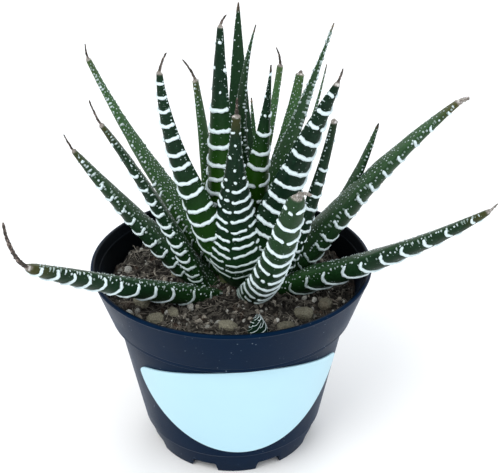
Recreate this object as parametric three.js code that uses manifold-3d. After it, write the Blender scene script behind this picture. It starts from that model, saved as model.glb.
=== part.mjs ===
// A potted haworthia: a rosette of stiff banded leaves on a short rooted crown, with one offset,
// in a round plastic nursery pot filled with gritty soil.
// Millimetres, +Z up. The origin is on the pot's axis, on the surface it stands on.
// +X is to the right and +Y to the back, seen from the side that carries the label.
import * as THREE from "three";
import { mergeVertices } from "three/addons/utils/BufferGeometryUtils.js";
import Module from "manifold-3d";

const wasm = await Module();
wasm.setup();

// ---------------------------------------------------------------- driving dimensions

const CLEARANCE = 0.3; // gap left between pieces that touch

const POT = {
  rimRadius: 51,
  height: 74,
  footRadius: 30.8,
  footHeight: 9,
  shoulderHeight: 54.7, // where the wall steps out to the collar
  wall: 1.2,
  segments: 36,
  drains: 8,
  drainWidth: 11,
  drainHeight: 4,
  drainDepth: 7,
  drainAzimuth: -109,
};

const LABEL = {
  azimuth: -82.5,
  radius: 35.6, // of the round lower edge, seen square on
  centreHeight: 48.5,
  crownRadius: 70, // of the shallow upper edge
  top: 54.1,
  thickness: 0.5,
  standOff: 0.2,
};

const SOIL = { level: 64, mound: 2.2, moundRadius: 16, floorGap: 0.4 };

const CROWN = { x: 4.5, y: 1, radius: 10, top: 71, bottom: 44, roots: 4, rootLength: 26 };

const LEAF = {
  corners: [0, 90, 180, 216, 252, 288, 324], // section points, in degrees from the left edge
  faceRise: 0.12, // inner face above the edges, as a share of the width
  backDepth: 0.46, // back below the edges, as a share of the width
  edgeLift: 0.17, // edges above the midline, as a share of the width
  bandHeight: 0.6,
  bandHalfWidth: 0.9,
  base: 0.85, // width at the base, as a share of the greatest width
  innerBase: 0.55, // the same for the crowded leaves that start near the crown's middle
  innerStart: 7,
  innerBase: 0.55, // the same for the crowded leaves that start near the crown's middle
  innerStart: 7,
  swell: 0.2, // share of the length over which the base widens
  threadWidth: 1.5,
  step: 1, // length of one step along the midline
  smoothing: 0.08, // slivers finer than this are merged after a cut
  plainSpacing: 5, // between the sections of a blade without relief
  wartSpacing: 11, // between the warts of a blade without bands
};
const TIP_WIDTH = { thread: 2.8, stub: 3.6, point: 1.2 };

// Each leaf: name, azimuth and distance from the crown's middle where it starts, start height,
// rise angle at base and tip, how late the rise comes, sideways turn, roll of the face to one side,
// length and greatest width of the green blade, taper, kind of tip, length and curl of the dried tip.
const LEAVES = [
  ["front_young",   -101.8,  9.4, 68.9, 76.2, 78.2, 0.79,  24,   0,   71, 21.6, 1.62, "thread",  6.8,   2],
  ["front_short",    -75.7,  8.2, 62.5, 20.5, 66.7, 0.46,   7,  12, 79.3, 11.9, 0.42, "stub",   10.5, -56],
  ["right_banded",   -41.9,  5.6, 68.8, 73.1, 63.3, 0.72,  -1,  -2, 87.5,   20, 0.84, "thread",  5.9,  10],
  ["centre_tall",      224,  8.8, 72.6, 83.4,   92,  0.5, -28,  -7, 89.2, 16.5, 0.91, "thread",  4.4,  41],
  ["left_upright",   225.8,  6.9, 69.8, 65.5,   89,  2.5, -29, -17, 85.4, 15.5, 0.97, "thread",  7.3,  34],
  ["left_low",       215.1, 10.7,   61, 15.4, 32.8, 0.36,  11, -16, 84.6, 12.6, 0.34, "thread", 19.9,  56],
  ["right_low",      -19.3,   10, 61.5, 26.8, 41.5, 1.66,  -8,  12, 89.2, 15.1, 0.72, "thread",  4.6,  19],
  ["left_slim",      196.4, 13.8, 59.7, 67.4, 58.4, 1.83,  -2,   4, 78.7, 11.2, 0.89, "thread",  9.9,  17],
  ["right_stub",     -23.6, 10.7, 63.7, 58.9, 80.2, 0.58,   4,  -4, 71.5, 10.7, 0.95, "stub",    1.1,   1],
  ["left_mid",       180.3, 11.1, 61.2, 29.8, 54.8,  0.3,   0,  -7, 72.4, 16.4,  0.9, "thread",  7.1,  15],
  ["left_tall",        146,    8, 65.6, 40.9, 64.4, 1.05,  14,  -8, 92.3,   14, 1.42, "thread",  6.3,  27],
  ["right_long",       8.8, 13.1, 61.4, 51.9, 36.1, 1.56,   7,  12,   92, 17.3, 0.96, "stub",    5.2, -24],
  ["back_left",      151.9, 11.8, 69.4, 88.1, 82.6, 0.55,  10,   5, 69.1,   11, 1.17, "thread",  8.7, -36],
  ["back_slim",       58.6,  3.3, 74.6, 98.2, 72.5, 1.77, -37,  -6, 85.8, 11.5, 1.12, "point",     0,   0],
  ["centre_right",   -62.4,    1,   76, 75.3, 85.3, 1.77,  19,   5, 76.6, 14.5, 1.18, "point",     0,   0],
  ["right_slim",      22.5,  4.1, 70.7, 60.5, 78.6, 0.95,  -2,   7, 77.4,    5, 1.03, "point",     0,   0],
  ["back_tall",       95.3,  2.2, 74.5, 70.3, 98.1, 1.29,   9,  -1,   91,   13, 0.89, "point",     0,   0],
  ["right_pointed",   43.3,  2.5, 71.1, 68.4, 54.3, 0.45,  12,   3,   92,   12, 1.32, "point",     0,   0],
  ["back_short",      76.5,    4, 70.2, 49.5, 77.8, 1.06, -22,  17,   73,    5, 1.08, "thread",  8.6,  48],
  ["back_stub",       58.8,  3.7, 70.4, 49.7, 74.9, 1.23,  -5,   8, 71.2,   11, 1.07, "stub",    1.7,  -2],
  ["right_back",      16.4, 11.8, 61.4, 17.3, 72.5, 0.43,   7,   7, 71.6,  9.8, 0.67, "point",     0,   0],
  ["rear_left",        106,  9.0,   63,   26,   50,  0.8,   0,   0,   50,   14,  0.9, "thread",    6,  20],
  ["rear_middle",     79.4, 10.2, 61.9, 46.3, 64.6, 0.86,  20,  -6, 67.2,  8.7, 1.12, "point",     0,   0],
  ["rear_right",        66,  9.0,   62,   28,   54,  0.8,   4,   0,   60,   13,  0.8, "thread",    5,  10],
];
const LEAF_FIELDS = ["name", "azimuth", "start", "height", "riseBase", "riseTip", "bend", "turn",
  "roll", "length", "width", "taper", "tip", "tipLength", "curl"];

// Leaves whose base is narrower than usual, as a share of their greatest width.
const NARROW_BASES = { front_young: 0.47, left_low: 0.75, centre_tall: 0.6, back_left: 0.6 };

// Leaves with whole bands of tubercles, and the spacing of their bands. The others carry warts.
const BANDED = {
  front_young: 5.6,
  front_short: 6.4,
  right_banded: 8,
  centre_tall: 7.6,
  left_upright: 7,
  left_low: 7,
  right_low: 8.2,
  left_slim: 6.8,
  centre_right: 7.6,
};

// The offset's leaves, around its own small stem.
const OFFSET = { x: 9.5, y: -34.5, base: 59, stemRadius: 2, leaves: 5, length: 9.5, width: 5 };

// Loose stones: name, x, y, half sizes along x, y and z, and turn about the vertical.
const STONES = [
  ["stone_left_edge",   -31.5, -16.0, 3.0, 2.2, 1.9, -30],
  ["stone_left",        -26.0, -26.2, 3.2, 2.3, 2.0,  25],
  ["stone_left_inner",  -20.0, -23.0, 2.6, 1.9, 1.7, 110],
  ["stone_left_back",   -20.0,   4.0, 2.7, 2.0, 1.8,  10],
  ["stone_front",        -1.0, -30.5, 3.4, 2.3, 1.9, -10],
  ["stone_front_right",  19.0, -30.5, 3.0, 2.0, 1.6,  15],
  ["stone_right",        25.5, -23.8, 3.2, 2.6, 2.2, -15],
  ["stone_right_edge",   33.5, -17.0, 2.8, 2.3, 2.0,  55],
  ["stone_back",         -8.0,  38.0, 2.8, 2.3, 1.9,  70],
];
const STONE_SINK = 0.35; // share of a stone's height that is bedded in the soil

// ---------------------------------------------------------------- finishes

const finish = (color, roughness) => new THREE.MeshStandardMaterial({ color, roughness, metalness: 0 });
const FINISHES = {
  pot: finish(0x1b2740, 0.38),
  label: finish(0xd4f1fa, 0.45),
  soil: finish(0x4a3f33, 0.95),
  crown: finish(0x3f5a35, 0.7),
  leaf: finish(0x1e4630, 0.45),
  stone: finish(0x9c9580, 0.85),
};

// ---------------------------------------------------------------- helpers

const radians = THREE.MathUtils.degToRad;

/** A manifold solid from a closed three.js geometry. */
function solidOf(geometry) {
  const bare = geometry.clone();
  bare.deleteAttribute("normal");
  bare.deleteAttribute("uv");
  const merged = mergeVertices(bare, 1e-4);
  const vertProperties = new Float32Array(merged.attributes.position.array);
  const triVerts = new Uint32Array(merged.index.array);
  return new wasm.Manifold(new wasm.Mesh({ numProp: 3, vertProperties, triVerts }));
}

/** The three.js geometry of a manifold solid. */
function geometryOf(solid) {
  const { vertProperties, triVerts } = solid.getMesh();
  const geometry = new THREE.BufferGeometry();
  geometry.setAttribute("position", new THREE.BufferAttribute(new Float32Array(vertProperties), 3));
  geometry.setIndex(new THREE.BufferAttribute(new Uint32Array(triVerts), 1));
  geometry.computeVertexNormals();
  return geometry;
}

/** The largest of the loose bodies that a cut leaves. */
function largestBody(solid) {
  const bodies = solid.decompose();
  return bodies.reduce((best, body) => (body.volume() > best.volume() ? body : best));
}

/** A closed solid of revolution about +Z from [radius, height] pairs. */
function revolve(profile, segments) {
  const points = profile.map(([radius, height]) => new THREE.Vector2(radius, height));
  return new THREE.LatheGeometry(points, segments).rotateX(Math.PI / 2);
}

/** A closed skin over rings of points that all have the same count, with a point at each end. */
function skin(rings) {
  const sides = rings[0].length;
  const middle = (ring) => ring.reduce((sum, p) => sum.add(p), new THREE.Vector3()).divideScalar(sides);
  const points = [...rings.flat(), middle(rings[0]), middle(rings.at(-1))];
  const first = rings.length * sides;
  const index = [];
  for (let ring = 0; ring < rings.length; ring += 1) {
    for (let side = 0; side < sides; side += 1) {
      const a = ring * sides + side;
      const b = ring * sides + ((side + 1) % sides);
      if (ring === 0) index.push(first, b, a);
      if (ring === rings.length - 1) index.push(first + 1, a, b);
      else index.push(a, b, b + sides, a, b + sides, a + sides);
    }
  }
  const geometry = new THREE.BufferGeometry().setFromPoints(points);
  geometry.setIndex(index);
  return geometry;
}

// ---------------------------------------------------------------- pot and label

const wallFootRadius = POT.footRadius + 3.3;
const wallTopRadius = POT.rimRadius - 8.4;
const wallFootHeight = POT.footHeight + 0.8;

/** The plastic pot: a narrow foot, a tapered wall, a stepped-out collar and a thin lip. */
function potSolid() {
  const outside = [
    [0, 0],
    [POT.footRadius, 0],
    [POT.footRadius + 2.4, POT.footHeight],
    [wallFootRadius, wallFootHeight],
    [wallTopRadius, POT.shoulderHeight],
    [POT.rimRadius - 6.2, POT.shoulderHeight + 0.4],
    [POT.rimRadius - 0.4, POT.height - 1.4],
    [POT.rimRadius, POT.height - 0.9],
    [POT.rimRadius - 0.3, POT.height],
  ];
  const inside = [
    [POT.rimRadius - 1.5, POT.height],
    [POT.rimRadius - 2.8, POT.height - 3.2],
    ...innerWall(0),
  ];
  let pot = solidOf(revolve([...outside, ...inside], POT.segments));
  for (let drain = 0; drain < POT.drains; drain += 1) {
    const box = new THREE.BoxGeometry(POT.drainDepth, POT.drainWidth, 2 * POT.drainHeight);
    box.translate(POT.footRadius + 1, 0, 0);
    box.rotateZ(radians(POT.drainAzimuth + (360 / POT.drains) * drain));
    pot = pot.subtract(solidOf(box));
  }
  return pot;
}

/** The inner wall from the collar down to the middle of the floor, moved in by a gap. */
function innerWall(gap) {
  const inset = POT.wall + gap;
  return [
    [POT.rimRadius - 6.2 - inset, POT.shoulderHeight + 0.4 + POT.wall],
    [wallTopRadius - inset, POT.shoulderHeight],
    [wallFootRadius - inset, wallFootHeight + 0.4],
    [POT.footRadius + 2.4 - inset, POT.footHeight + 0.4],
    [POT.footRadius - inset, inset],
    [0, inset],
  ];
}

/** The bare sticker: a D-shaped patch of a thin skin that lies on the pot's tapered wall. */
function labelSolid() {
  const low = 5;
  const high = POT.shoulderHeight - 0.3;
  const radiusAt = (z) => THREE.MathUtils.mapLinear(
    z, wallFootHeight, POT.shoulderHeight, wallFootRadius, wallTopRadius);
  const { standOff, thickness } = LABEL;
  const skinProfile = [
    [radiusAt(low) + standOff, low],
    [radiusAt(low) + standOff + thickness, low],
    [radiusAt(high) + standOff + thickness, high],
    [radiusAt(high) + standOff, high],
    [radiusAt(low) + standOff, low],
  ];
  const shell = solidOf(revolve(skinProfile, POT.segments));

  // The two arcs meet at the label's corners.
  const crownCentre = LABEL.top - LABEL.crownRadius;
  const apart = LABEL.centreHeight - crownCentre;
  const drop = (LABEL.radius ** 2 - LABEL.crownRadius ** 2 + apart ** 2) / (2 * apart);
  const lowerAngle = Math.asin(-drop / LABEL.radius);
  const upperAngle = Math.asin((apart - drop) / LABEL.crownRadius);
  const outline = new THREE.Shape();
  outline.absarc(0, LABEL.centreHeight, LABEL.radius, Math.PI - lowerAngle, 2 * Math.PI + lowerAngle);
  outline.absarc(0, crownCentre, LABEL.crownRadius, upperAngle, Math.PI - upperAngle);
  const prism = new THREE.ExtrudeGeometry(outline, { depth: 60, bevelEnabled: false, curveSegments: 7 });
  prism.rotateX(Math.PI / 2).rotateZ(radians(LABEL.azimuth + 90));
  return largestBody(shell.intersect(solidOf(prism)));
}

// ---------------------------------------------------------------- leaves

/** Half-width factor along the green blade, from 0 at the base to 1 where it ends. */
function bladeWidth(leaf, share) {
  const tipWidth = TIP_WIDTH[leaf.tip];
  const swell = Math.sin((Math.PI / 2) * Math.min(share / LEAF.swell, 1));
  const base = leaf.base + (1 - leaf.base) * swell;
  const rest = Math.max(0, (share - LEAF.swell) / (1 - LEAF.swell));
  return tipWidth + (leaf.width * base - tipWidth) * (1 - rest) ** leaf.taper;
}

/** Directions of a leaf where a share of its blade is past: along it, across it and off its face. */
function directions(leaf, share, tipShare) {
  const curl = leaf.curl * Math.sqrt(tipShare);
  const rise = radians(leaf.riseBase + (leaf.riseTip - leaf.riseBase) * share ** leaf.bend + curl);
  const azimuth = radians(leaf.azimuth + leaf.turn * share);
  const level = new THREE.Vector3(Math.cos(azimuth), Math.sin(azimuth), 0);
  const along = level.clone().multiplyScalar(Math.cos(rise)).setZ(Math.sin(rise));
  const across = new THREE.Vector3(-level.y, level.x, 0).applyAxisAngle(along, -radians(leaf.roll));
  return { along, across, up: along.clone().cross(across) };
}

/** Stations along a leaf from base to tip: distances, with the ridges' numbers and heights. */
function stations(leaf, isPlain) {
  const list = [{ at: 0, relief: 0, band: 0 }];
  const half = LEAF.bandHalfWidth;
  const spacing = isPlain ? LEAF.plainSpacing : leaf.spacing;
  const count = Math.floor((leaf.length - half) / spacing);
  for (let band = 0; band < count; band += 1) {
    const at = (band + 0.7) * spacing;
    if (isPlain) list.push({ at, relief: 0, band });
    else list.push({ at: at - half, relief: 0, band }, { at, relief: 1, band }, { at: at + half, relief: 0, band });
  }
  list.push({ at: leaf.length, relief: 0, band: 0 });
  for (const share of leaf.tipLength > 0 ? [0.08, 0.5, 1] : []) {
    list.push({ at: leaf.length + share * leaf.tipLength, relief: 0, band: 0 });
  }
  return list;
}

/** Width at a distance along the whole leaf, dried tip included. */
function widthAt(leaf, at) {
  if (at <= leaf.length) return bladeWidth(leaf, at / leaf.length);
  const share = (at - leaf.length) / leaf.tipLength;
  if (leaf.tip === "stub") return TIP_WIDTH.stub * (0.8 - 0.25 * share);
  return LEAF.threadWidth * (1 - 0.45 * share);
}

/** One leaf's skin. A plain one has no ridges, and grow thickens it all round. */
function leafSkin(leaf, isPlain = false, grow = 0) {
  const start = radians(leaf.azimuth);
  const point = new THREE.Vector3(leaf.x, leaf.y, leaf.height);
  point.add(new THREE.Vector3(Math.cos(start), Math.sin(start), 0).multiplyScalar(leaf.start));
  let reached = 0;
  const rings = stations(leaf, isPlain).map(({ at, relief, band }) => {
    const steps = Math.max(1, Math.round((at - reached) / LEAF.step));
    const stride = (at - reached) / steps;
    for (let step = 0; step < steps; step += 1) {
      const middle = reached + (step + 0.5) * stride;
      point.addScaledVector(directions(leaf, ...shares(leaf, middle)).along, stride);
    }
    reached = at;
    const frame = directions(leaf, ...shares(leaf, at));
    return section(leaf, point, frame, widthAt(leaf, at), relief, band, grow);
  });
  return skin(rings);
}

/** How much of the blade and of the dried tip lie behind a distance. */
function shares(leaf, at) {
  const tipShare = leaf.tipLength > 0 ? Math.max(0, (at - leaf.length) / leaf.tipLength) : 0;
  return [Math.min(at / leaf.length, 1), tipShare];
}

/** A leaf's cross-section: nearly flat inside, deeply rounded and ridged on the back. */
function section(leaf, point, frame, width, relief, band, grow) {
  const ring = [];
  for (const [corner, degrees] of LEAF.corners.entries()) {
    const angle = radians(degrees);
    const isBack = degrees !== 90;
    const isRaised = isBack && (leaf.relief === "band" || corner % 2 === band % 2);
    const raise = isRaised ? relief * LEAF.bandHeight * Math.min(1, width / 6) : 0;
    const depth = isBack ? LEAF.backDepth : LEAF.faceRise;
    const out = raise + grow;
    const x = Math.cos(angle) * (width / 2 + out);
    const y = width * LEAF.edgeLift + Math.sin(angle) * (width * depth + out);
    ring.push(point.clone().addScaledVector(frame.across, x).addScaledVector(frame.up, y));
  }
  return ring;
}

/** Every leaf of the plant, cut clear of the leaves before it and of what it must not enter. */
function leafSolids(obstacles) {
  const cut = new Map();
  let taken = obstacles;
  for (const row of LEAVES) {
    const leaf = Object.fromEntries(LEAF_FIELDS.map((field, column) => [field, row[column]]));
    Object.assign(leaf, {
      x: CROWN.x,
      y: CROWN.y,
      base: NARROW_BASES[leaf.name] ?? (leaf.start < LEAF.innerStart ? LEAF.innerBase : LEAF.base),
      spacing: BANDED[leaf.name] ?? LEAF.wartSpacing,
      relief: leaf.name in BANDED ? "band" : "wart",
    });
    cut.set(leaf.name, largestBody(solidOf(leafSkin(leaf)).subtract(taken)).simplify(LEAF.smoothing));
    taken = taken.add(solidOf(leafSkin(leaf, true, LEAF.bandHeight + CLEARANCE)));
  }
  return cut;
}

// ---------------------------------------------------------------- crown, offset, soil and stones

/** The short stem with its fleshy roots; grow thickens it all round. */
function crownSolid(grow = 0) {
  const { radius, top, bottom } = CROWN;
  const profile = [
    [0, bottom - grow],
    [radius * 0.4 + grow, bottom - grow],
    [radius * 0.8 + grow, bottom + 10],
    [radius + grow, SOIL.level],
    [radius * 0.85 + grow, top - 3],
    [radius * 0.4 + grow, top + grow],
    [0, top + grow],
  ];
  let crown = solidOf(revolve(profile, 12));
  for (let root = 0; root < CROWN.roots; root += 1) {
    const azimuth = (2 * Math.PI * root) / CROWN.roots + 0.4;
    const rings = [0, 0.35, 0.7, 1].map((share) => {
      const out = share * CROWN.rootLength;
      const middle = new THREE.Vector3(
        Math.cos(azimuth) * out * 0.7, Math.sin(azimuth) * out * 0.7, bottom + 6 - out * 0.8);
      return Array.from({ length: 5 }, (_, side) => {
        const angle = (2 * Math.PI * side) / 5;
        const thick = 2.2 * (1 - 0.6 * share) + grow;
        return middle.clone().add(new THREE.Vector3(
          -Math.sin(azimuth) * Math.cos(angle) * thick,
          Math.cos(azimuth) * Math.cos(angle) * thick,
          Math.sin(angle) * thick));
      });
    });
    crown = crown.add(solidOf(skin(rings)));
  }
  return crown.translate([CROWN.x, CROWN.y, 0]);
}

/** The offset: a few short leaves grown from one stem; grow thickens it all round. */
function offsetSolid(grow = 0) {
  const stem = new THREE.CylinderGeometry(OFFSET.stemRadius + grow, 1.2 + grow, 6 + grow, 8);
  stem.rotateX(Math.PI / 2).translate(OFFSET.x, OFFSET.y, OFFSET.base + 3 - grow / 2);
  let rosette = solidOf(stem);
  for (let number = 0; number < OFFSET.leaves; number += 1) {
    const leaf = {
      x: OFFSET.x, y: OFFSET.y, azimuth: 40 + (360 / OFFSET.leaves) * number, start: 0.6,
      height: OFFSET.base + 5, riseBase: 48, riseTip: 72, bend: 1, turn: 0, roll: 0,
      length: OFFSET.length, width: OFFSET.width, base: 0.85, taper: 0.9, tip: "point",
      tipLength: 0, curl: 0,
    };
    rosette = rosette.add(solidOf(leafSkin(leaf, true, grow)));
  }
  return rosette;
}

/** Height of the soil's uneven top. */
function soilHeight(x, y) {
  const away = Math.hypot(x - CROWN.x, y - CROWN.y);
  const mound = SOIL.mound * Math.exp(-((away / SOIL.moundRadius) ** 2));
  return SOIL.level + mound + 0.5 * Math.sin(0.31 * x + 1) * Math.cos(0.27 * y) + 0.3 * Math.sin(0.7 * y);
}

/** The soil: it fills the pot to just under the lip, and its top is uneven. */
function soilSolid() {
  const wall = innerWall(SOIL.floorGap).reverse();
  const collarRadius = POT.rimRadius - 4.6 - POT.wall - SOIL.floorGap;
  const rings = [collarRadius, 36, 26, 15, 0];
  const profile = [...wall, ...rings.map((radius) => [radius, SOIL.level])];
  const geometry = revolve(profile, 26);
  const position = geometry.attributes.position;
  for (let point = 0; point < position.count; point += 1) {
    if (position.getZ(point) > SOIL.level - 1) {
      position.setZ(point, soilHeight(position.getX(point), position.getY(point)));
    }
  }
  return solidOf(geometry);
}

/** One stone, bedded in the soil; grow thickens it all round. */
function stoneSolid([, x, y, halfX, halfY, halfZ, turn], grow = 0) {
  const geometry = new THREE.IcosahedronGeometry(1, 1);
  geometry.scale(halfX + grow, halfY + grow, halfZ + grow).rotateZ(radians(turn));
  const rise = halfZ * (1 - 2 * STONE_SINK);
  return solidOf(geometry.translate(x, y, soilHeight(x, y) + rise));
}

// ---------------------------------------------------------------- assembly

const plant = new THREE.Group();

function place(name, solid, material) {
  const mesh = new THREE.Mesh(geometryOf(solid), material);
  mesh.name = name;
  plant.add(mesh);
}

const pot = potSolid();
const soil = soilSolid();
const stones = STONES.map((row) => [row[0], stoneSolid(row), stoneSolid(row, CLEARANCE)]);
const dimples = stones.reduce((all, [, , dimple]) => all.add(dimple), stones[0][2]);
const hollow = crownSolid(CLEARANCE).add(offsetSolid(CLEARANCE));
const pitted = soil.subtract(hollow).subtract(dimples);
const bed = crownSolid(CLEARANCE).add(soil.translate([0, 0, CLEARANCE])).add(pot).add(dimples);

place("pot", pot, FINISHES.pot);
place("label", labelSolid(), FINISHES.label);
place("soil", largestBody(pitted).simplify(0.1), FINISHES.soil);
place("crown", crownSolid(), FINISHES.crown);
for (const [name, solid] of leafSolids(bed)) {
  place("leaf_" + name, solid, FINISHES.leaf);
}
place("offset", offsetSolid(), FINISHES.leaf);
for (const [name, solid] of stones) place(name, solid, FINISHES.stone);

export default plant;
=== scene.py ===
"""A potted haworthia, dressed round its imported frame: blades, tubercles, soil, stones, pot, label."""

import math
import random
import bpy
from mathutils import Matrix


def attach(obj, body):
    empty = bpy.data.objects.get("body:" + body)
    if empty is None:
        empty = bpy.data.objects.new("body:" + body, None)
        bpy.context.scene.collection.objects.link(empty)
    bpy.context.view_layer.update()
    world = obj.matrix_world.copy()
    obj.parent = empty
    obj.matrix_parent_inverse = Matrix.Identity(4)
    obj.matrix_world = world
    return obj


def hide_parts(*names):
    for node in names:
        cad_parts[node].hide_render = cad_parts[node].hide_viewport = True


bl_info = {
    "name": "Potted haworthia",
    "version": (1, 0, 0),
    "blender": (4, 5, 0),
    "location": "3D View > Sidebar > Haworthia",
    "description": "Builds the leaves, soil, pot and label of a potted haworthia",
    "category": "Object",
}

import bpy
import numpy as np
from bpy.props import FloatProperty, FloatVectorProperty, IntProperty, PointerProperty
from bpy.types import Operator, Panel, PropertyGroup
from mathutils import Vector, noise

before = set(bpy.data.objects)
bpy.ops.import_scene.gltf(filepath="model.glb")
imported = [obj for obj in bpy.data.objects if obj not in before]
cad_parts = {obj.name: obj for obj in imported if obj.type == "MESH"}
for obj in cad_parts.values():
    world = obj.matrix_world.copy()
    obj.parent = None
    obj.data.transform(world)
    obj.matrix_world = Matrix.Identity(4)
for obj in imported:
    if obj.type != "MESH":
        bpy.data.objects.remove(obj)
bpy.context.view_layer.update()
MM = 0.001

# ---------------------------------------------------------------- sizes in millimetres

POT = {
    "rim": 51.0, "height": 74.0, "foot": 30.8, "foot_height": 9.0, "shoulder": 54.7, "wall": 1.2,
    "waist": 9.8, "waist_radius": 34.1, "shoulder_radius": 42.6,
    "drains": 8, "drain_width": 11.0, "drain_height": 4.0, "drain_azimuth": -109.0,
}
LABEL = {
    "azimuth": -82.5, "radius": 35.6, "centre": 48.5, "crown_radius": 70.0, "top": 54.1, "corner": 4.5,
    "columns": 96, "rows": 30, "gap": 0.06,
}
SOIL = {
    "level": 64.0, "mound": 2.2, "mound_radius": 16.0, "radius": 45.4, "rings": 66, "segments": 288,
    "pebbles": 230, "seed": 11,
}
# Radius and height down the side of the soil.
SOIL_SIDE = ((43.2, 56.3), (41.0, 54.7), (32.5, 10.2), (31.6, 9.4), (29.2, 1.6))
CROWN = (4.5, 1.0)

# A blade's section as shares of its width, with the keel's spread in degrees; the share of the length
# over which the base widens; the width at which each kind of tip ends; and how far the dried thread
# eases in and how much of its thickness it loses.
FACE_RISE = 0.12
BACK_DEPTH = 0.46
BACK_RADIUS = 0.485
EDGE_LIFT = 0.17
KEEL = 0.022
KEEL_SPREAD = 16
SWELL = 0.2
TIP_WIDTH = {"thread": 2.8, "stub": 3.6, "point": 0.5}
THREAD_EASE = 0.9
THREAD_TAPER = 0.55

# Each blade: azimuth, start, height, rise at base and tip, bend, turn, roll of the face to one side,
# length, width, base width, taper, kind of tip, length and curl of the dried tip.
BLADE_FIELDS = ("azimuth", "start", "height", "rise_base", "rise_tip", "bend", "turn", "roll",
                "length", "width", "base", "taper", "tip", "tip_length", "curl")
BLADES = {
    "front_young": (-101.8, 9.4, 68.9, 76.2, 78.2, 0.79, 24, 0, 71, 21.6, 0.47, 1.62, "thread", 6.8, 2),
    "front_short": (-75.7, 8.2, 62.5, 20.5, 66.7, 0.46, 7, 12, 79.3, 11.9, 0.85, 0.42, "stub", 10.5, -56),
    "right_banded": (-41.9, 5.6, 68.8, 73.1, 63.3, 0.72, -1, -2, 87.5, 20, 0.55, 0.84, "thread", 5.9, 10),
    "centre_tall": (224, 8.8, 72.6, 83.4, 92, 0.5, -28, -7, 89.2, 16.5, 0.6, 0.91, "thread", 4.4, 41),
    "left_upright": (225.8, 6.9, 69.8, 65.5, 89, 2.5, -29, -17, 85.4, 15.5, 0.55, 0.97, "thread", 7.3, 34),
    "left_low": (215.1, 10.7, 61, 15.4, 32.8, 0.36, 11, -16, 84.6, 12.6, 0.75, 0.34, "thread", 19.9, 56),
    "right_low": (-19.3, 10, 61.5, 26.8, 41.5, 1.66, -8, 12, 89.2, 15.1, 0.85, 0.72, "thread", 4.6, 19),
    "left_slim": (196.4, 13.8, 59.7, 67.4, 58.4, 1.83, -2, 4, 78.7, 11.2, 0.85, 0.89, "thread", 9.9, 17),
    "right_stub": (-23.6, 10.7, 63.7, 58.9, 80.2, 0.58, 4, -4, 71.5, 10.7, 0.85, 0.95, "stub", 1.1, 1),
    "left_mid": (180.3, 11.1, 61.2, 29.8, 54.8, 0.3, 0, -7, 72.4, 16.4, 0.85, 0.9, "thread", 7.1, 15),
    "left_tall": (146, 8, 65.6, 40.9, 64.4, 1.05, 14, -8, 92.3, 14, 0.85, 1.42, "thread", 6.3, 27),
    "right_long": (8.8, 13.1, 61.4, 51.9, 36.1, 1.56, 7, 12, 92, 17.3, 0.85, 0.96, "stub", 5.2, -24),
    "back_left": (151.9, 11.8, 69.4, 88.1, 82.6, 0.55, 10, 5, 69.1, 11, 0.6, 1.17, "thread", 8.7, -36),
    "back_slim": (58.6, 3.3, 74.6, 98.2, 72.5, 1.77, -37, -6, 85.8, 11.5, 0.55, 1.12, "point", 0, 0),
    "centre_right": (-62.4, 1, 76, 75.3, 85.3, 1.77, 19, 5, 76.6, 14.5, 0.55, 1.18, "point", 0, 0),
    "right_slim": (22.5, 4.1, 70.7, 60.5, 78.6, 0.95, -2, 7, 77.4, 5, 0.55, 1.03, "point", 0, 0),
    "back_tall": (95.3, 2.2, 74.5, 70.3, 98.1, 1.29, 9, -1, 91, 13, 0.55, 0.89, "point", 0, 0),
    "right_pointed": (43.3, 2.5, 71.1, 68.4, 54.3, 0.45, 12, 3, 92, 12, 0.55, 1.32, "point", 0, 0),
    "back_short": (76.5, 4, 70.2, 49.5, 77.8, 1.06, -22, 17, 73, 5, 0.55, 1.08, "thread", 8.6, 48),
    "back_stub": (58.8, 3.7, 70.4, 49.7, 74.9, 1.23, -5, 8, 71.2, 11, 0.55, 1.07, "stub", 1.7, -2),
    "right_back": (16.4, 11.8, 61.4, 17.3, 72.5, 0.43, 7, 7, 71.6, 9.8, 0.85, 0.67, "point", 0, 0),
    "rear_left": (106, 9.0, 63, 26, 50, 0.8, 0, 0, 50, 14, 0.85, 0.9, "thread", 6, 20),
    "rear_middle": (79.4, 10.2, 61.9, 46.3, 64.6, 0.86, 20, -6, 67.2, 8.7, 0.85, 1.12, "point", 0, 0),
    "rear_right": (66, 9.0, 62, 28, 54, 0.8, 4, 0, 60, 13, 0.85, 0.8, "thread", 5, 10),
}

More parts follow.
